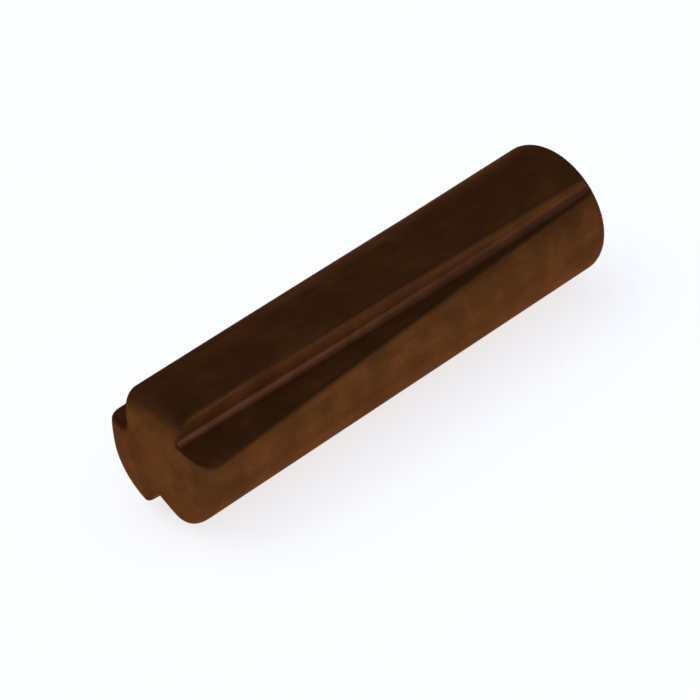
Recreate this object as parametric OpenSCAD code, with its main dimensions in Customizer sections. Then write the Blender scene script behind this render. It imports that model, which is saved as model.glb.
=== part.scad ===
// Full-length taper grooved pin.
// A drawn steel pin with three lengthwise grooves swaged into it. Each groove is deepest at
// the head end and runs out to a narrow line at the lead end, which enters the hole first.
// The metal that a groove displaces stands up as a raised lip along both of its sides, so
// the pin is wider over the lips than its own diameter and springs tight in a plain hole.
// The pin lies along X with its lead end towards +X, and rests on the lips of one groove.
// The origin is on the surface it rests on, below the middle of its length.

/* [Pin] */
// Nominal diameter of the pin, measured on the lead end
pin_d = 5; // [4:0.5:12]
// Overall length of the pin, over both domed ends
pin_l = 20; // [14:1:60]
// Length of the plain part of the lead end, which stays at the nominal diameter
lead_l = 3; // [2:0.5:5]
// Growth of the diameter that swaging leaves between the grooves at the head end
swell_d = 0.04; // [0.02:0.01:0.08]

/* [Ends] */
// Radius of the dome on both ends
dome_r = 7; // [6.5:0.5:20]
// Radius of the rounded edge at the head end
head_edge_r = 0.8; // [0.4:0.1:1]
// Radius of the rounded edge at the lead end
lead_edge_r = 0.2; // [0.1:0.1:0.5]

/* [Grooves] */
// Angle between the two walls of a groove
groove_angle = 80; // [60:5:90]
// Radius at the root of a groove
root_r = 0.2; // [0.1:0.02:0.26]
// Depth of the front groove and of the bottom groove at the head end
groove_depth = 0.95; // [0.7:0.05:1.2]
// Depth of the rear groove at the head end
rear_depth = 0.75; // [0.6:0.05:1.2]
// Depth of every groove at the lead end
lead_depth = 0.3; // [0.2:0.05:0.4]
// Angle between the front groove and the rear groove, across the top of the pin
top_spread = 104; // [100:1:130]

/* [Lips] */
// Height of a raised lip above the pin at the head end
lip_h = 0.08; // [0.04:0.01:0.12]
// Radius of a raised lip's crown
lip_r = 0.3; // [0.2:0.05:0.4]

/* [Hidden] */

$fn = 96;
pin_r = pin_d / 2;
head_r = pin_r + swell_d / 2;
wall_angle = groove_angle / 2;
// Direction of each groove around the pin, up from +Y, and its depth at the head end
front_groove = [90 + top_spread / 2, groove_depth];
rear_groove = [90 - top_spread / 2, rear_depth];
bottom_groove = [270, groove_depth];

// How far a cutting body runs past the pin at each end
over = 2;
// Surfaces that blend into each other cross by these small amounts instead of only touching:
// a groove's wall cuts into its lip, the arc of an edge passes the dome and the side, and the
// round root of a groove passes its walls
lip_bite = 0.02;
arc_cross = 0.01;
root_cross = 0.005;
// How far a lip has sunk below the pin's side where it ends at the plain lead end
lip_sink = 0.05;
// How far the form that ends the lips stands back from the pin's own end
lip_inset = 0.02;

// Height of an end, from the top of its dome to the start of the straight side, for a body
// of radius r with an edge of radius e
function end_h(r, e) = dome_r - sqrt((dome_r - e) ^ 2 - (r - e) ^ 2);

head_h = end_h(head_r, head_edge_r);
lead_h = end_h(pin_r, lead_edge_r);
side_end_x = pin_l - lead_h;
lead_x = side_end_x - lead_l;

// Depth of a groove at a distance x from the head end
function depth_at(x, depth) = depth + (lead_depth - depth) * x / pin_l;

// Distance from the pin's axis to the point where a groove's two walls would meet
function apex_at(x, depth) =
    pin_r - depth_at(x, depth) + root_r - (root_r - root_cross) / sin(wall_angle);

// Half of a groove's mouth, as an angle around the pin's axis
function mouth_half(x, depth) = wall_angle - asin(apex_at(x, depth) * sin(wall_angle) / pin_r);

// Height of the pin's axis: the lowest line of the pin is the mouth of its bottom groove
axis_z = pin_r * cos(mouth_half(side_end_x, groove_depth));

// Centre of a lip in the plane at x, as [x, sideways, outwards]: the lip leans on the
// groove's wall, and its crown stands h above the pin
function lip_centre(x, depth, h) =
    let (
        apex = apex_at(x, depth),
        inside = lip_r - lip_bite,
        reach = pin_r + h - lip_r,
        along = sqrt(reach ^ 2 - (inside - apex * sin(wall_angle)) ^ 2) - apex * cos(wall_angle)
    )
    [
        x,
        along * sin(wall_angle) + inside * cos(wall_angle),
        apex + along * cos(wall_angle) - inside * sin(wall_angle)
    ];

// Rectangle from the axis out to w, between two places along the axis
module slab(w, from, to) {
    translate([0, min(from, to)]) square([w, abs(to - from)]);
}

// Half section of all that a dome leaves standing. The dome's top is at `tip`, and the pin
// runs on from there in the direction `dir`, 1 or -1.
module dome_outline(tip, dir) {
    translate([0, tip + dir * dome_r]) circle(dome_r);
    slab(pin_r + over, tip + dir * dome_r, tip + dir * (dome_r + pin_l));
}

// Half section of one half of a bar with a rounded edge, before its dome is cut: the middle
// of its end, the edge's arc, and the side behind it
module edge_outline(r, e, tip, dir) {
    h = end_h(r, e);
    slab((r - e) * dome_r / (dome_r - e), tip - dir * over, tip + dir * h);
    translate([r - e + arc_cross, tip + dir * (h - arc_cross)]) circle(e);
    slab(r + over, tip + dir * h, tip + dir * (pin_l / 2 + over));
}

// Round bar of radius r along the line from a to b, run on past a
module bar(a, b, r) {
    d = b - a;
    len = norm(d);
    translate(a - over * d / len)
        rotate([0, acos(d[2] / len), atan2(d[1], d[0])])
            cylinder(h = len + over, r = r);
}

// Turned body along X with its head end at x = 0, drawn from its half section
module turned() {
    rotate([90, 0, 90]) rotate_extrude() children();
}

// The bar before it is grooved, with both of its ends
module blank() {
    turned()
        intersection() {
            dome_outline(0, 1);
            dome_outline(pin_l, -1);
            union() {
                edge_outline(head_r, head_edge_r, 0, 1);
                edge_outline(pin_r, lead_edge_r, pin_l, -1);
            }
            polygon([
                [0, -over], [head_r, -over], [head_r, head_h], [pin_r, lead_x], [pin_r, pin_l + over],
                [0, pin_l + over]
            ]);
        }
}

// Form that ends the lips at the head: the blank's own end, one lip larger
module lip_limit() {
    r = head_r + lip_h;
    translate([lip_inset, 0, 0])
        turned()
            intersection() {
                dome_outline(0, 1);
                union() {
                    edge_outline(r, head_edge_r + lip_h, 0, 1);
                    slab(r + over, pin_l / 2, pin_l);
                }
                slab(r, -over, pin_l);
            }
}

// The two raised lips of a groove that points up
module lips(depth) {
    head = lip_centre(0, depth, lip_h);
    foot = lip_centre(lead_x, depth, -lip_sink);
    bar(head, foot, lip_r);
    mirror([0, 1, 0]) bar(head, foot, lip_r);
}

// Wedge that presses a groove that points up: a V with a round root, tilted along the pin
module wedge(depth) {
    slope = atan((depth - lead_depth) / pin_l);
    tall = pin_r + over;
    // The walls start inside the root's circle, at this height and this far from the middle
    low = root_r - root_r * sin(wall_angle);
    half = (root_r - root_cross - root_r * sin(wall_angle) ^ 2) / cos(wall_angle);
    translate([0, 0, pin_r - depth])
        rotate([0, -slope, 0])
            translate([-over, 0, 0])
                rotate([90, 0, 90])
                    linear_extrude(pin_l + 2 * over) {
                        translate([0, root_r]) circle(root_r);
                        polygon([
                            [-half, low],
                            [half, low],
                            [half + tall * tan(wall_angle), low + tall],
                            [-half - tall * tan(wall_angle), low + tall]
                        ]);
                    }
}

// Turns its children, drawn for a groove that points up, to a groove's own direction
module at_groove(groove) {
    rotate([groove[0] - 90, 0, 0]) children();
}

module grooved_pin() {
    grooves = [front_groove, rear_groove, bottom_groove];
    color([0.36, 0.22, 0.13])
        translate([-pin_l / 2, 0, axis_z])
            difference() {
                union() {
                    blank();
                    intersection() {
                        union() {
                            for (groove = grooves) at_groove(groove) lips(groove[1]);
                        }
                        lip_limit();
                    }
                }
                for (groove = grooves) at_groove(groove) wedge(groove[1]);
            }
}

grooved_pin();
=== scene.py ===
"""Grooved pin of browned steel, lying on a white studio floor.

The pin is a drawn bar with domed ends. Three lengthwise grooves are swaged into it,
deepest at the head end, and the metal they displace stands up as lips beside them.
"""
import logging
import math
from dataclasses import dataclass
from enum import Enum
from typing import Any, Iterable

import bpy
import numpy as np
from mathutils import Euler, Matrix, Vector


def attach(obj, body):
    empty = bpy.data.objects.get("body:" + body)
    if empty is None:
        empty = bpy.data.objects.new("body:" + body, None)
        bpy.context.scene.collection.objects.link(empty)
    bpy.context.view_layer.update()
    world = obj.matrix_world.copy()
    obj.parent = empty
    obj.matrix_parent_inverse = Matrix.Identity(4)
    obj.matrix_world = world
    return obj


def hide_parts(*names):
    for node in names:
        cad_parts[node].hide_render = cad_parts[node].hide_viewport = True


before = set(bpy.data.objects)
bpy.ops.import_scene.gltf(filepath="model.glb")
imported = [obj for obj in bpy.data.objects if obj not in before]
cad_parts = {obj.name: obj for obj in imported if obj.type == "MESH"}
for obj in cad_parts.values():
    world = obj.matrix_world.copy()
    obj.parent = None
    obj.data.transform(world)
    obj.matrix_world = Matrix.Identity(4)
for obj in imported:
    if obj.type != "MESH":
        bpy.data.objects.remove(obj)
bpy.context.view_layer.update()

log = logging.getLogger("grooved_pin")

MM = 0.001
TINY = 1e-9
IMAGE_PX = 700
SENSOR_MM = 36.0
BEND, SIDE = "bend", "side"


# ---------------------------------------------------------------- small helpers


def linear(hex_colour: str) -> tuple[float, float, float, float]:
    """Turns an sRGB hex colour into the linear colour that a shader takes.

    Args:
        hex_colour: Six hex digits with a leading #.

    Returns:
        Linear red, green and blue, and an alpha of 1.
    """
    parts = [int(hex_colour[i : i + 2], 16) / 255 for i in (1, 3, 5)]
    red, green, blue = (
        c / 12.92 if c <= 0.04045 else ((c + 0.055) / 1.055) ** 2.4 for c in parts
    )
    return red, green, blue, 1.0


def add_node(
    tree: bpy.types.NodeTree,
    kind: str,
    settings: dict[str, Any] | None = None,
    sockets: dict[Any, Any] | None = None,
) -> bpy.types.Node:
    """Adds one node with its settings, its socket values and its incoming links.

    Args:
        tree: The node tree that takes the node.
        kind: The node's class name.
        settings: Attributes to set on the node.
        sockets: A value, or an output socket to link, for each input by name or index.

    Returns:
        The new node.
    """
    node = tree.nodes.new(kind)
    for name, value in (settings or {}).items():
        setattr(node, name, value)
    for name, value in (sockets or {}).items():
        if isinstance(value, bpy.types.NodeSocket):
            tree.links.new(value, node.inputs[name])
        else:
            node.inputs[name].default_value = value
    return node


@dataclass(frozen=True)
class Ramp:
    """A range of a value, and the range onto which a map range node turns it."""

    low: float
    high: float
    start: float = 0.0
    stop: float = 1.0

    def sockets(self, value: bpy.types.NodeSocket) -> dict[str, Any]:
        """Sockets of a map range node that reads the value.

        Args:
            value: The output that the node reads.

        Returns:
            A link or a number for each of the node's inputs, by name.
        """
        return {
            "Value": value,
            "From Min": self.low,
            "From Max": self.high,
            "To Min": self.start,
            "To Max": self.stop,
        }


def smoothstep(value: np.ndarray, low: float, high: float) -> np.ndarray:
    """Rises smoothly from 0 at low to 1 at high.

    Args:
        value: Where to read the step.
        low: The value at which the step starts.
        high: The value at which the step is complete.

    Returns:
        The step, from 0 to 1.
    """
    t = np.clip((value - low) / (high - low), 0.0, 1.0)
    return t * t * (3.0 - 2.0 * t)


def round_max(a: np.ndarray, b: np.ndarray, radius: np.ndarray) -> np.ndarray:
    """Joins two distance fields in an intersection whose edge is rounded.

    Args:
        a: The first signed distance.
        b: The second signed distance.
        radius: The radius of the rounded edge at each point.

    Returns:
        The signed distance to the rounded intersection.
    """
    inner = np.minimum(np.maximum(a, b), -radius)
    outer = np.hypot(np.maximum(a + radius, 0.0), np.maximum(b + radius, 0.0))
    return inner + outer


# ---------------------------------------------------------------- the pin's form


class Place(Enum):
    """Where a groove sits around the pin, as an angle up from +Y, in degrees."""

    FRONT = 139.0
    REAR = 37.6
    BOTTOM = 270.0


@dataclass(frozen=True)
class Blank:
    """The drawn bar before it is grooved. All lengths are in millimetres."""

    length: float = 20.0
    pin_r: float = 2.5
    dome_r: float = 9.0
    head_edge_r: float = 0.7
    lead_edge_r: float = 0.35
    arc_steps: int = 400

    def ends(self) -> list[tuple[float, float, float]]:
        """Places the rounded edges of the head end and of the lead end.

        Returns:
            For each end, how deep the edge's centre lies below the dome's apex, how far
            it is from the axis, and the edge's radius.
        """
        edges = []
        for edge in (self.head_edge_r, self.lead_edge_r):
            out = self.pin_r - edge
            deep = self.dome_r - math.sqrt((self.dome_r - edge) ** 2 - out**2)
            edges.append((deep, out, edge))
        return edges

    def distance(self, x: np.ndarray, r: np.ndarray, lip: np.ndarray) -> np.ndarray:
        """Signed distance to the bar, negative inside.

        Args:
            x: Distance along the axis from the head's apex.
            r: Distance from the axis.
            lip: How far the side stands out here, where a lip is raised.

        Returns:
            The signed distance at each point.
        """
        result = r - self.pin_r - lip
        for depth, (deep, out, edge) in zip((x, self.length - x), self.ends()):
            beyond = np.hypot(depth - deep, r - out)
            turn = np.arctan2(r - out, np.maximum(deep - depth, TINY))
            share = smoothstep(turn, math.atan2(out, self.dome_r - deep), math.pi / 2)
            arc = beyond - edge - lip * share
            dome = np.hypot(depth - self.dome_r, r) - self.dome_r
            on_dome = r * (self.dome_r - deep) < out * (self.dome_r - depth)
            on_end = (depth < deep) & (depth < self.length / 2)
            result = np.where(on_end, np.where(on_dome, dome, arc), result)
        return result

    def outline(self, lead: bool, steps: int) -> tuple[np.ndarray, np.ndarray]:
        """Half section of one end, from its apex to the start of the side.

        Args:
            lead: True for the lead end, False for the head end.
            steps: How many points to give.

        Returns:
            Depth from the apex and distance from the axis, evenly spaced along the line.
        """
        deep, out, edge = self.ends()[int(lead)]
        start = math.atan2(out, self.dome_r - deep)
        on_dome = np.linspace(0.0, start, self.arc_steps)
        on_edge = np.linspace(start, math.pi / 2, self.arc_steps)[1:]
        depth = np.concatenate(
            [self.dome_r * (1 - np.cos(on_dome)), deep - edge * np.cos(on_edge)]
        )
        r = np.concatenate([self.dome_r * np.sin(on_dome), out + edge * np.sin(on_edge)])
        run = np.concatenate([[0.0], np.cumsum(np.hypot(np.diff(depth), np.diff(r)))])
        even = np.linspace(0.0, run[-1], steps)
        return np.interp(even, run, depth), np.interp(even, run, r)


@dataclass(frozen=True)
class Groove:
    """A swaged V groove with a round root and two lips. Lengths are in millimetres.

    A size with a head value and a lead value runs evenly from one end to the other.
    """

    place: Place
    head_depth: float
    lead_depth: float = 0.3
    # How much shallower the groove starts at the head, and how soon that is made up.
    ease: float = 0.0
    ease_length: float = 3.0
    # Angle between a wall and the middle of the V, and how far the V leans over.
    wall_deg: float = 42.0
    lean_deg: float = 0.0
    lead_lean_deg: float = 0.0
    root_r: float = 0.2
    lead_root_r: float = 0.3
    rim_r: float = 0.14
    lead_rim_r: float = 0.05
    # The lips: height at the head, where they end, and their form beside the mouth.
    lip_h: float = 0.1
    lip_end: float = 14.0
    lip_crest: float = 0.10
    lip_spread: float = 0.45
    blank: Blank = Blank()

    @property
    def wall(self) -> float:
        """Angle between a wall and the middle line of the V, in radians."""
        return math.radians(self.wall_deg)

    @property
    def turn(self) -> float:
        """Direction of the groove around the pin, in radians."""
        return math.radians(self.place.value)

    def along(self, head: float, lead: float, x: np.ndarray) -> np.ndarray:
        """A size at x that runs evenly from its head value to its lead value."""
        return head + (lead - head) * x / self.blank.length

    def depth(self, x: np.ndarray) -> np.ndarray:
        """Depth of the root below the bar's side, eased in at the head."""
        ease = self.ease * np.exp(-x / self.ease_length)
        return self.along(self.head_depth, self.lead_depth, x) - ease

    def root(self, x: np.ndarray) -> np.ndarray:
        """Radius of the round root at x."""
        return self.along(self.root_r, self.lead_root_r, x)

    def rim(self, x: np.ndarray) -> np.ndarray:
        """Radius of the groove's rounded rims at x."""
        return self.along(self.rim_r, self.lead_rim_r, x)

    def lean(self, x: np.ndarray) -> np.ndarray:
        """Angle by which the V leans over at x, in radians."""
        return np.radians(self.along(self.lean_deg, self.lead_lean_deg, x))

    def root_centre(self, x: np.ndarray) -> tuple[np.ndarray, np.ndarray]:
        """Centre of the round root. The V leans about the middle of its mouth.

        Args:
            x: Distance along the axis from the head's apex.

        Returns:
            Its place sideways and outwards, seen along the groove's direction.
        """
        down = self.depth(x) - self.root(x)
        side = -down * np.sin(self.lean(x))
        return side, self.blank.pin_r - down * np.cos(self.lean(x))

    def walls(self, x: np.ndarray) -> list[tuple[np.ndarray, ...]]:
        """The two walls of the V, as lines in the plane across the pin.

        Args:
            x: Distance along the axis from the head's apex.

        Returns:
            For each wall, a point sideways and outwards and a direction likewise.
        """
        lean = self.lean(x)
        side, out = self.root_centre(x)
        reach = self.root(x) / math.sin(self.wall)
        apex = side - reach * np.sin(lean), out - reach * np.cos(lean)
        return [
            (*apex, np.sin(lean + sign * self.wall), np.cos(lean + sign * self.wall))
            for sign in (-1, 1)
        ]

    def mouth(self, x: np.ndarray) -> list[np.ndarray]:
        """Where the two walls meet the bar's side.

        Args:
            x: Distance along the axis from the head's apex.

        Returns:
            For each wall, the angle of that edge from the groove's own direction.
        """
        edges = []
        for side, out, run, rise in self.walls(x):
            along = side * run + out * rise
            far = np.sqrt(along**2 - side**2 - out**2 + self.blank.pin_r**2) - along
            edges.append(np.arctan2(side + far * run, out + far * rise))
        return edges

    def local(self, y: np.ndarray, z: np.ndarray) -> tuple[np.ndarray, np.ndarray]:
        """Position sideways and outwards, seen along this groove's own direction."""
        sine, cosine = math.sin(self.turn), math.cos(self.turn)
        return z * cosine - y * sine, y * cosine + z * sine

    def distance(self, x: np.ndarray, y: np.ndarray, z: np.ndarray) -> np.ndarray:
        """Signed distance to the groove's walls, positive in the open groove.

        Args:
            x: Distance along the axis from the head's apex.
            y: Position across the pin, from its axis.
            z: Position up from the pin's axis.

        Returns:
            The signed distance at each point, and -1 behind the axis.
        """
        across, out = self.local(y, z)
        lean, round_r = self.lean(x), self.root(x)
        root_side, root_out = self.root_centre(x)
        da, do = across - root_side, out - root_out
        side = np.abs(da * np.cos(lean) - do * np.sin(lean))
        up = da * np.sin(lean) + do * np.cos(lean)
        sine, cosine = math.sin(self.wall), math.cos(self.wall)
        on_wall = side * sine + up * cosine > 0
        wall = round_r - (side * cosine - up * sine)
        root = round_r - np.hypot(side, up)
        return np.where(out > 0, np.where(on_wall, wall, root), -1.0)

    def lip(self, x: np.ndarray, y: np.ndarray, z: np.ndarray) -> np.ndarray:
        """How far this groove's lips stand out of the side.

        Args:
            x: Distance along the axis from the head's apex.
            y: Position across the pin, from its axis.
            z: Position up from the pin's axis.

        Returns:
            The height of the lip over the bar's side at each point.
        """
        across, out = self.local(y, z)
        angle = np.arctan2(across, out)
        upper, lower = self.mouth(x)
        beside = self.blank.pin_r * np.maximum(upper - angle, angle - lower)
        height = self.lip_h * np.clip(1.0 - x / self.lip_end, 0.0, 1.0)
        falloff = np.maximum(beside - self.lip_crest, 0.0) / self.lip_spread
        return height * np.exp(-(falloff**2))


@dataclass
class GroovedPin:
    """The whole pin: one piece of steel, as one mesh that stands for the solid.

    The form is a signed distance field. A grid of points, whose columns follow the
    grooves and whose rows crowd at the ends, settles onto it.
    """

    name: str = "pin_body"
    blank: Blank = Blank()
    grooves: tuple[Groove, ...] = (
        Groove(
            Place.FRONT,
            head_depth=0.83,
            lead_depth=0.12,
            ease=0.15,
            wall_deg=50.0,
            lean_deg=17.0,
            lead_lean_deg=-14.0,
            rim_r=0.05,
        ),
        Groove(Place.REAR, head_depth=0.89, lead_depth=0.15, lip_h=0.13),
        Groove(Place.BOTTOM, head_depth=1.28, lip_h=0.06),
    )
    # Height of the axis while the pin rests on the two lips of its bottom groove.
    axis_z: float = 2.47734
    # Rows over each end and along the side, and how much they crowd at the edges.
    dome_rows: int = 26
    side_rows: int = 190
    dome_crowding: float = 0.12
    side_crowding: float = 0.9
    # Columns from a groove's root to the middle of the land beside it.
    root_columns: int = 6
    wall_columns: int = 6
    rim_columns: int = 14
    lip_columns: int = 9
    land_columns: int = 12
    # Width of these bands: shares of the root's and the rim's radius, the least wall
    # as an angle, and the lip in millimetres.
    root_share: float = 0.8
    rim_share: float = 1.1
    least_wall: float = 0.02
    lip_width: float = 0.7
    # How finely the ends are searched for the grooves' mouths, how often points move
    # towards the surface, and the least squared slope that they reckon with.
    search_steps: int = 800
    settle_rounds: int = 6
    least_steep: float = 0.2
    # Millimetres over which slope and curvature are measured, and the curvature kept.
    slope_step: float = 1e-4
    bend_step: float = 0.02
    most_bend: float = 8.0

    def distance(self, p: np.ndarray) -> np.ndarray:
        """Signed distance to the finished pin, negative inside.

        Args:
            p: Points as rows of x, y and z, from the head's apex on the pin's axis.

        Returns:
            The signed distance at each point.
        """
        x, y, z = p.T
        lip = np.maximum.reduce([g.lip(x, y, z) for g in self.grooves])
        result = self.blank.distance(x, np.hypot(y, z), lip)
        for groove in self.grooves:
            result = round_max(result, groove.distance(x, y, z), groove.rim(x))
        return result

    def slope(self, p: np.ndarray) -> np.ndarray:
        """Gradient of the signed distance.

        Args:
            p: Points as rows of x, y and z, from the head's apex on the pin's axis.

        Returns:
            The gradient at each point, in rows likewise.
        """
        step = self.slope_step
        parts = []
        for axis in np.eye(3):
            ahead, behind = self.distance(p + step * axis), self.distance(p - step * axis)
            parts.append((ahead - behind) / (2 * step))
        return np.stack(parts, axis=1)

    def bend(self, p: np.ndarray) -> np.ndarray:
        """Curvature of the surface, in 1/mm: positive on edges and lips.

        Args:
            p: Points on the surface, as rows of x, y and z.

        Returns:
            The sum of the two curvatures at each point, kept within the most bend.
        """
        step = self.bend_step
        total = -6.0 * self.distance(p)
        for axis in np.eye(3):
            total += self.distance(p + step * axis) + self.distance(p - step * axis)
        return np.clip(total / step**2, -self.most_bend, self.most_bend)

    def settle(self, p: np.ndarray) -> np.ndarray:
        """Moves points onto the pin's surface along the slope of the distance.

        Args:
            p: Points near the surface, as rows of x, y and z.

        Returns:
            The moved points.
        """
        for _ in range(self.settle_rounds):
            grade = self.slope(p)
            steep = np.maximum((grade**2).sum(axis=1), self.least_steep)
            p = p - (self.distance(p) / steep)[:, None] * grade
        return p

    def angles(self, x: np.ndarray) -> np.ndarray:
        """Angle of every column at each x: columns follow roots, rims and lips.

        Args:
            x: Distance along the axis, one value for each row of the result.

        Returns:
            Angles around the axis in radians, one row for each x.
        """
        ordered = sorted(self.grooves, key=lambda g: g.turn)
        shares = []
        for i, groove in enumerate(ordered):
            after = ordered[(i + 1) % len(ordered)]
            gap = (after.turn - groove.turn) % (2 * math.pi)
            near = self.half_stops(groove, x, 1, gap / 2)
            far = self.half_stops(after, x, 0, gap / 2)
            shares.append(groove.turn + near[:, :-1])
            shares.append(groove.turn + gap - far[:, :0:-1])
        return np.concatenate(shares, axis=1)

    def half_stops(
        self, groove: Groove, x: np.ndarray, rising: int, span: float
    ) -> np.ndarray:
        """Column angles from a groove's root out to the middle of the land beside it.

        Args:
            groove: The groove.
            x: Distance along the axis, one value for each row of the result.
            rising: 1 for the side where angles rise, 0 for the other side.
            span: Angle from the groove's direction to the middle of the land.

        Returns:
            Angles away from the groove's direction, one row for each x.
        """
        sign = 1 if rising else -1
        side, out = groove.root_centre(x)
        middle = sign * np.arctan2(side, out)
        mouth = sign * groove.mouth(x)[rising]
        root = middle + self.root_share * groove.root(x) / out
        rim = self.rim_share * groove.rim(x) / self.blank.pin_r
        stops = [
            middle,
            root,
            np.maximum(mouth - rim, root + self.least_wall),
            mouth + rim,
            mouth + rim + self.lip_width / self.blank.pin_r,
            np.full_like(x, span),
        ]
        counts = (
            self.root_columns,
            self.wall_columns,
            self.rim_columns,
            self.lip_columns,
            self.land_columns,
        )
        spans = [
            a[:, None] + (b - a)[:, None] * np.linspace(0, 1, n, endpoint=False)
            for a, b, n in zip(stops, stops[1:], counts)
        ]
        return np.concatenate([*spans, stops[-1][:, None]], axis=1)

    def end_stops(self, lead: bool, angle: np.ndarray) -> tuple[np.ndarray, np.ndarray]:
        """Where each column leaves the dome or edge for the side or a groove's wall.

        Args:
            lead: True for the lead end, False for the head end.
            angle: Angle of each column at this end.

        Returns:
            Share of the end's outline used, and depth there, for each column.
        """
        depth, r = self.blank.outline(lead, self.search_steps)
        x = self.blank.length - depth if lead else depth
        grid_x = np.repeat(x[:, None], len(angle), axis=1)
        y, z = r[:, None] * np.cos(angle), r[:, None] * np.sin(angle)
        is_cut = np.maximum.reduce([g.distance(grid_x, y, z) for g in self.grooves]) > 0
        first = np.where(is_cut.any(axis=0), is_cut.argmax(axis=0), len(depth) - 1)
        return first / (len(depth) - 1), depth[first]

    def end_grid(self, lead: bool, angle: np.ndarray, share: np.ndarray) -> np.ndarray:
        """Rows of points over one end, from its apex outwards.

        Args:
            lead: True for the lead end, False for the head end.
            angle: Angle of each column at this end.
            share: Share of the end's outline that each column uses.

        Returns:
            Points in rows and columns.
        """
        depth, r = self.blank.outline(lead, self.search_steps)
        t = np.linspace(0.0, 1.0, self.dome_rows + 1)[1:]
        t = t + self.dome_crowding * np.sin(math.pi * t) * t
        at = t[:, None] * share[None, :]
        ticks = np.linspace(0.0, 1.0, len(depth))
        d, q = np.interp(at, ticks, depth), np.interp(at, ticks, r)
        x = self.blank.length - d if lead else d
        return np.stack([x, q * np.cos(angle), q * np.sin(angle)], axis=2)

    def side_grid(self, start: np.ndarray, stop: np.ndarray) -> np.ndarray:
        """Rows of points along the side and along the grooves' walls.

        Args:
            start: Where each column leaves the head end, along the axis.
            stop: Where each column meets the lead end, along the axis.

        Returns:
            Points in rows and columns.
        """
        (head_deep, _, _), (lead_deep, _, _) = self.blank.ends()
        t = np.linspace(0.0, 1.0, self.side_rows + 2)[1:-1]
        t = t - self.side_crowding * np.sin(2 * math.pi * t) / (2 * math.pi)
        x = start[None, :] + t[:, None] * (stop - start)[None, :]
        middle = np.clip(x.mean(axis=1), head_deep, self.blank.length - lead_deep)
        angle = self.angles(middle)
        r = self.open_radius(x, angle)
        return np.stack([x, r * np.cos(angle), r * np.sin(angle)], axis=2)

    def open_radius(self, x: np.ndarray, angle: np.ndarray) -> np.ndarray:
        """Distance from the axis to the side or, in a groove, to its nearer wall.

        Args:
            x: Distance along the axis from the head's apex.
            angle: Direction around the axis, in radians.

        Returns:
            The distance at each point.
        """
        least = 1e-3  # keeps a line that runs along a wall from meeting it far away
        r = np.full_like(x, self.blank.pin_r)
        for groove in self.grooves:
            off = np.angle(np.exp(1j * (angle - groove.turn)))
            reach = np.zeros_like(r)
            for side, out, run, rise in groove.walls(x):
                cross = np.sin(off) * rise - np.cos(off) * run
                cross = np.where(np.abs(cross) < least, least, cross)
                line = (side * rise - out * run) / cross
                reach = np.maximum(reach, np.where(line > 0, line, self.blank.length))
            r = np.minimum(r, reach)
        return r

    def grid(self) -> np.ndarray:
        """Lays the grid of points, before they settle, over all but the two apexes.

        Returns:
            Points in rows from the head to the lead end, and in columns around the pin.
        """
        (head_deep, _, _), (lead_deep, _, _) = self.blank.ends()
        head_angle = self.angles(np.array([head_deep]))[0]
        lead_angle = self.angles(np.array([self.blank.length - lead_deep]))[0]
        head_share, start = self.end_stops(False, head_angle)
        lead_share, deep = self.end_stops(True, lead_angle)
        head = self.end_grid(False, head_angle, head_share)
        side = self.side_grid(start, self.blank.length - deep)
        lead = self.end_grid(True, lead_angle, lead_share)
        return np.concatenate([head, side, lead[::-1]], axis=0)

    def faces(self, rows: int, columns: int) -> list[tuple[int, ...]]:
        """Quads between the rows, and a fan of triangles at each apex.

        Args:
            rows: Number of rows of points.
            columns: Number of points in each row, which closes on itself.

        Returns:
            The points of each face, where the two apexes come after all rows.
        """
        j = np.arange(columns)
        after = (j + 1) % columns
        last, head, lead = (rows - 1) * columns, rows * columns, rows * columns + 1
        faces = []
        for a in range(0, last, columns):
            b = a + columns
            faces.append(np.stack([a + j, a + after, b + after, b + j], axis=1))
        faces.append(np.stack([np.full(columns, head), after, j], axis=1))
        faces.append(np.stack([np.full(columns, lead), last + j, last + after], axis=1))
        return [tuple(face) for part in faces for face in part.tolist()]

    def build(self) -> bpy.types.Object:
        """Builds the pin's mesh in place, riding on the body and standing for its solid.

        Returns:
            The mesh object.
        """
        grid = self.grid()
        rows, columns = grid.shape[:2]
        apexes = [[0.0, 0.0, 0.0], [self.blank.length, 0.0, 0.0]]
        surface = np.concatenate([self.settle(grid.reshape(-1, 3)), apexes])
        points = surface + [-self.blank.length / 2, 0.0, self.axis_z]
        mesh = bpy.data.meshes.new(self.name)
        mesh.from_pydata((points * MM).tolist(), [], self.faces(rows, columns))
        self.mark(mesh, BEND, self.bend(surface))
        self.mark(mesh, SIDE, 1.0 - np.abs(self.slope(surface)[:, 0]))
        mesh.polygons.foreach_set("use_smooth", [True] * len(mesh.polygons))
        mesh.update()
        pin = bpy.data.objects.new(self.name, mesh)
        bpy.context.scene.collection.objects.link(pin)
        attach(pin, "root")
        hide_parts("grooved_pin")
        return pin

    def mark(self, mesh: bpy.types.Mesh, name: str, values: np.ndarray) -> None:
        """Stores one value for each point of the mesh, for the finish to read."""
        mesh.attributes.new(name, "FLOAT", "POINT").data.foreach_set("value", values)

    def dress(self, pin: bpy.types.Object, finish: "BrownedSteel") -> None:
        """Gives the pin its finish."""
        pin.data.materials.append(finish.material())


# ---------------------------------------------------------------- finishes


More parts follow.
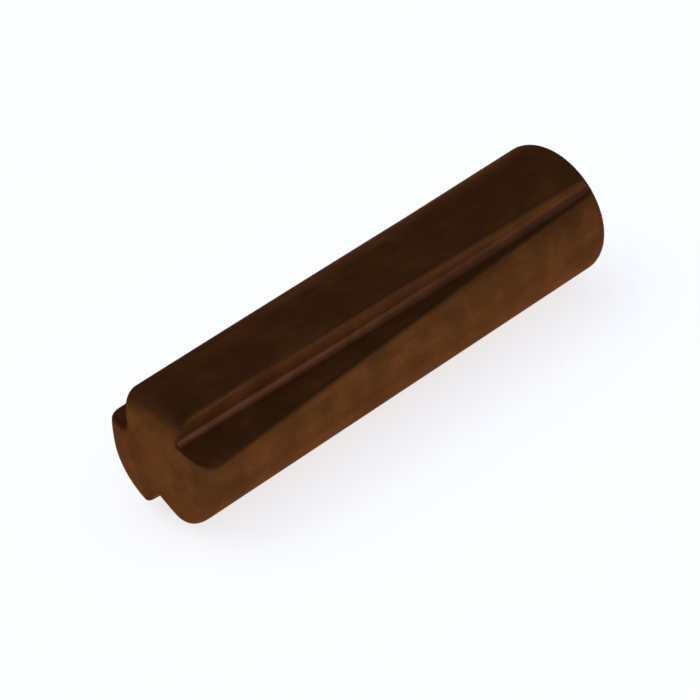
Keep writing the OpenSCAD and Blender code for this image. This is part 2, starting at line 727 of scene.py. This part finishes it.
@dataclass(frozen=True)
class BrownedSteel:
    """Drawn and swaged carbon steel, tumbled and then browned in a hot oxide bath.

    The oxide tints the metal's own reflection brown and scatters a little of the light,
    so the shine is dull and warm. It takes unevenly, so the eye sees soft blotches. Draw
    lines run along the bar but not over its ends. The roots are painted lighter, a painted
    highlight along each root line, and the lips and rims are painted darker, a painted
    shade that dims their highlight.
    """

    base: str = "#794A26"
    dark: str = "#633C1E"
    # Painted highlight: a lighter tint for the groove roots.
    highlight_tint: str = "#9A6244"
    # Painted shade: a darker tint for lips and rims, dimming their highlight.
    shade_tint: str = "#55331C"
    edge: str = "#D0AA7B"
    metallic: float = 0.85
    # Size of the oxide's blotches and of the marks that drawing leaves, along the pin
    # and across it, in millimetres.
    blotch_mm: tuple[float, float] = (1.3, 1.3)
    streak_mm: tuple[float, float] = (9.0, 0.55)
    # Real draw lines are 0.01 to 0.03 mm apart, and the oxide's grain is finer still.
    # Both are drawn coarser, to be seen.
    line_mm: tuple[float, float] = (14.0, 0.11)
    grain_mm: tuple[float, float] = (0.09, 0.09)
    line_deep_mm: float = 0.006
    grain_deep_mm: float = 0.004
    octaves: float = 2.0
    blotch_octaves: float = 5.0
    octave_fade: float = 0.62
    # Where the oxide is thick, where the draw marks are strong, and where the surface
    # faces sideways and so was drawn.
    thick: Ramp = Ramp(0.34, 0.66)
    drawn: Ramp = Ramp(0.35, 0.65)
    sideways: Ramp = Ramp(0.55, 0.95)
    # Curvature in 1/mm: hollows painted lighter in patches, a painted highlight, and crowns
    # # painted darker, a painted shade.
    hollow_highlight: Ramp = Ramp(-1.0, -5.0)
    patchy: Ramp = Ramp(0.2, 0.8, 0.9, 0.3)
    crown_shade: Ramp = Ramp(0.8, 5.0, 0.0, 0.7)
    roughness: Ramp = Ramp(0.3, 0.7, 0.57, 0.69)

    def pattern(
        self, tree: bpy.types.NodeTree, size_mm: tuple[float, float], octaves: float
    ) -> bpy.types.NodeSocket:
        """Lays a noise over the pin whose cells have a real length and width.

        Args:
            tree: The node tree that takes the nodes.
            size_mm: Size of a cell along the pin's axis and across it.
            octaves: How many finer octaves are laid over the first.

        Returns:
            The noise's value, around 0.5.
        """
        along, across = (1.0 / (size * MM) for size in size_mm)
        where = add_node(tree, "ShaderNodeTexCoord").outputs["Object"]
        sized = add_node(
            tree,
            "ShaderNodeVectorMath",
            {"operation": "MULTIPLY"},
            {0: where, 1: (along, across, across)},
        )
        noise = add_node(
            tree,
            "ShaderNodeTexNoise",
            sockets={
                "Vector": sized.outputs[0],
                "Scale": 1.0,
                "Detail": octaves,
                "Roughness": self.octave_fade,
            },
        )
        return noise.outputs[0]

    def colour(
        self,
        tree: bpy.types.NodeTree,
        blotch: bpy.types.NodeSocket,
        streak: bpy.types.NodeSocket,
        side: bpy.types.NodeSocket,
    ) -> bpy.types.NodeSocket:
        """Lays thick oxide, draw marks, painted root highlight and crown shade over the base
        colour.

        Args:
            tree: The node tree that takes the nodes.
            blotch: The pattern of the oxide.
            streak: The pattern of the draw marks.
            side: How much of the drawn side shows here, from 0 to 1.

        Returns:
            The metal's colour.
        """
        bend = add_node(tree, "ShaderNodeAttribute", {"attribute_name": BEND}).outputs["Fac"]
        thick, drawn, hollow_highlight, patchy, crown_shade = (
            add_node(tree, "ShaderNodeMapRange", sockets=ramp.sockets(value)).outputs[0]
            for ramp, value in (
                (self.thick, blotch),
                (self.drawn, streak),
                (self.hollow_highlight, bend),
                (self.patchy, blotch),
                (self.crown_shade, bend),
            )
        )
        product = {"operation": "MULTIPLY"}
        marks = add_node(tree, "ShaderNodeMath", product, {0: drawn, 1: side}).outputs[0]
        marks = add_node(tree, "ShaderNodeMath", product, {0: marks, 1: thick}).outputs[0]
        # Painted highlight in the roots, laid in patches.
        root_highlight = add_node(tree, "ShaderNodeMath", product, {0: hollow_highlight, 1: patchy}).outputs[0]
        colour: Any = linear(self.base)
        for share, tint in (
            (thick, self.dark),
            (marks, self.dark),
            # painted highlight in the roots
            (root_highlight, self.highlight_tint),
            # painted shade on the lips and rims
            (crown_shade, self.shade_tint),
        ):
            layers = {0: share, 6: colour, 7: linear(tint)}
            colour = add_node(tree, "ShaderNodeMix", {"data_type": "RGBA"}, layers).outputs[2]
        return colour

    def relief(
        self, tree: bpy.types.NodeTree, side: bpy.types.NodeSocket
    ) -> bpy.types.NodeSocket:
        """Raises draw lines on the drawn side and a fine grain all over.

        Args:
            tree: The node tree that takes the nodes.
            side: How much of the drawn side shows here, from 0 to 1.

        Returns:
            The surface's normal.
        """
        line = self.pattern(tree, self.line_mm, self.octaves)
        grain = self.pattern(tree, self.grain_mm, self.octaves)
        product = {"operation": "MULTIPLY"}
        height = add_node(tree, "ShaderNodeMath", product, {0: line, 1: side})
        lines = add_node(
            tree,
            "ShaderNodeBump",
            sockets={"Height": height.outputs[0], "Distance": self.line_deep_mm * MM},
        )
        pits = add_node(
            tree,
            "ShaderNodeBump",
            sockets={
                "Height": grain,
                "Distance": self.grain_deep_mm * MM,
                "Normal": lines.outputs[0],
            },
        )
        return pits.outputs[0]

    def material(self) -> bpy.types.Material:
        """Makes the browned steel material.

        Returns:
            The material, with all of its pattern from nodes.
        """
        material = bpy.data.materials.new("browned_drawn_steel")
        material.use_nodes = True
        tree = material.node_tree
        tree.nodes.clear()
        blotch = self.pattern(tree, self.blotch_mm, self.blotch_octaves)
        streak = self.pattern(tree, self.streak_mm, self.octaves)
        facing = add_node(tree, "ShaderNodeAttribute", {"attribute_name": SIDE})
        side, rough = (
            add_node(tree, "ShaderNodeMapRange", sockets=ramp.sockets(value)).outputs[0]
            for ramp, value in (
                (self.sideways, facing.outputs["Fac"]),
                (self.roughness, streak),
            )
        )
        shader = add_node(
            tree,
            "ShaderNodeBsdfPrincipled",
            sockets={
                "Base Color": self.colour(tree, blotch, streak, side),
                "Metallic": self.metallic,
                "Roughness": rough,
                "Specular Tint": linear(self.edge),
                "Normal": self.relief(tree, side),
            },
        )
        add_node(tree, "ShaderNodeOutputMaterial", sockets={"Surface": shader.outputs[0]})
        return material


@dataclass(frozen=True)
class WhitePaper:
    """Matt white background paper, rolled out flat, which the eye sees as plain white.

    It glows for rays from the camera, from metal and through glass alone, so its white
    adds no light to the pin, and the pin's shadow stays on it.
    """

    white: str = "#EDEDED"
    glow: float = 0.745

    def material(self) -> bpy.types.Material:
        """Makes the paper material.

        Returns:
            The material, as a diffuse surface with a glow added.
        """
        material = bpy.data.materials.new("white_background_paper")
        material.use_nodes = True
        tree = material.node_tree
        tree.nodes.clear()
        paper = add_node(tree, "ShaderNodeBsdfDiffuse", sockets={"Color": linear(self.white)})
        path = add_node(tree, "ShaderNodeLightPath").outputs
        seen = path["Is Camera Ray"]
        for ray in ("Is Glossy Ray", "Is Transmission Ray"):
            most = {"operation": "MAXIMUM"}
            seen = add_node(tree, "ShaderNodeMath", most, {0: seen, 1: path[ray]}).outputs[0]
        product = {"operation": "MULTIPLY"}
        glow = add_node(tree, "ShaderNodeMath", product, {0: seen, 1: self.glow})
        light = add_node(tree, "ShaderNodeEmission", sockets={"Strength": glow.outputs[0]})
        both = add_node(
            tree,
            "ShaderNodeAddShader",
            sockets={0: paper.outputs[0], 1: light.outputs[0]},
        )
        add_node(tree, "ShaderNodeOutputMaterial", sockets={"Surface": both.outputs[0]})
        return material


# ---------------------------------------------------------------- studio


@dataclass(frozen=True)
class Studio:
    """White floor, a room that lights the pin, and one soft lamp that adds a shadow.

    The room is white below the horizon and higher in front of the pin, and dim and
    slightly blue above, so that the pin's top stays dark and its front is bright.
    """

    # Radius of the floor in metres, so large that its edge is never seen.
    floor_r: float = 2.0
    floor_sides: int = 96
    room: str = "#797E90"
    # The direction of the front, how much higher white reaches there, and the band
    # over which white turns to the room's tone, as heights on a unit sphere.
    front: tuple[float, float, float] = (0.55, -0.835, 0.0)
    front_rise: float = 0.43
    band: Ramp = Ramp(-0.5, 0.05)
    lamp: float = 0.35
    lamp_angle_deg: float = 60.0
    lamp_turn_deg: tuple[float, float, float] = (-28.0, -18.0, 0.0)

    def build_floor(self, finish: WhitePaper) -> bpy.types.Object:
        """Builds the floor as a flat disc.

        Args:
            finish: What the floor is covered with.

        Returns:
            The mesh object.
        """
        turns = [2 * math.pi * k / self.floor_sides for k in range(self.floor_sides)]
        ring = [(self.floor_r * math.cos(t), self.floor_r * math.sin(t), 0.0) for t in turns]
        mesh = bpy.data.meshes.new("floor")
        mesh.from_pydata(ring, [], [tuple(range(self.floor_sides))])
        mesh.materials.append(finish.material())
        floor = bpy.data.objects.new("floor", mesh)
        bpy.context.scene.collection.objects.link(floor)
        return floor

    def build_lamp(self) -> bpy.types.Object:
        """Builds a very soft overhead lamp, which lays the pin's shadow on the floor.

        Returns:
            The lamp. Metal doesn't mirror it, so the top of the pin stays dark.
        """
        data = bpy.data.lights.new("soft_overhead", "SUN")
        data.energy = self.lamp
        data.angle = math.radians(self.lamp_angle_deg)
        lamp = bpy.data.objects.new("soft_overhead", data)
        lamp.rotation_euler = Euler([math.radians(a) for a in self.lamp_turn_deg])
        lamp.visible_glossy = False
        bpy.context.scene.collection.objects.link(lamp)
        return lamp

    def build_world(self) -> None:
        """Builds the room around the pin as a gradient of light."""
        world = bpy.data.worlds.new("studio")
        bpy.context.scene.world = world
        world.use_nodes = True
        tree = world.node_tree
        tree.nodes.clear()
        way = add_node(tree, "ShaderNodeTexCoord").outputs["Generated"]
        height = add_node(tree, "ShaderNodeSeparateXYZ", sockets={0: way}).outputs["Z"]
        ahead = add_node(
            tree,
            "ShaderNodeVectorMath",
            {"operation": "DOT_PRODUCT"},
            {0: way, 1: self.front},
        ).outputs["Value"]
        for operation, sockets in (
            ("MAXIMUM", {1: 0.0}),
            ("POWER", {1: 2.0}),
            ("MULTIPLY_ADD", {1: -self.front_rise, 2: height}),
        ):
            settings = {"operation": operation}
            step = add_node(tree, "ShaderNodeMath", settings, {0: ahead, **sockets})
            ahead = step.outputs[0]
        shade = add_node(
            tree,
            "ShaderNodeMapRange",
            {"interpolation_type": "SMOOTHSTEP"},
            self.band.sockets(ahead),
        )
        tone = add_node(
            tree,
            "ShaderNodeMix",
            {"data_type": "RGBA"},
            {0: shade.outputs[0], 6: (1.0, 1.0, 1.0, 1.0), 7: linear(self.room)},
        )
        back = add_node(tree, "ShaderNodeBackground", sockets={"Color": tone.outputs[2]})
        add_node(tree, "ShaderNodeOutputWorld", sockets={"Surface": back.outputs[0]})


@dataclass(frozen=True)
class StillCamera:
    """A camera on a tripod with a long lens, aimed down at the pin."""

    place_mm: tuple[float, float, float] = (-88.1493, -100.7673, 96.1276)
    turn_deg: tuple[float, float, float] = (54.6337, 5.2219, -44.6487)
    # Length of the lens in pixels of an image as wide as IMAGE_PX.
    focal_px: float = 4743.0
    clip_mm: float = 1.0

    def build(self) -> bpy.types.Object:
        """Makes the camera and sets it as the scene's own.

        Returns:
            The camera.
        """
        data = bpy.data.cameras.new("still_camera")
        data.sensor_width = SENSOR_MM
        data.lens = self.focal_px * SENSOR_MM / IMAGE_PX
        data.clip_start = self.clip_mm * MM
        camera = bpy.data.objects.new("still_camera", data)
        camera.location = Vector(self.place_mm) * MM
        camera.rotation_euler = Euler([math.radians(a) for a in self.turn_deg])
        bpy.context.scene.collection.objects.link(camera)
        bpy.context.scene.camera = camera
        return camera


def report(pieces: Iterable[bpy.types.Object]) -> None:
    """Logs the name and the face count of each piece."""
    for piece in pieces:
        log.info("%s: %d faces", piece.name, len(piece.data.polygons))


def main() -> None:
    logging.basicConfig(level=logging.INFO, format="%(name)s %(message)s")
    bpy.context.scene.view_settings.view_transform = "Standard"
    StillCamera().build()
    studio = Studio()
    studio.build_world()
    studio.build_lamp()
    floor = studio.build_floor(WhitePaper())
    pin = GroovedPin()
    body = pin.build()
    pin.dress(body, BrownedSteel())
    report([floor, body])


if __name__ == "__main__":
    main()
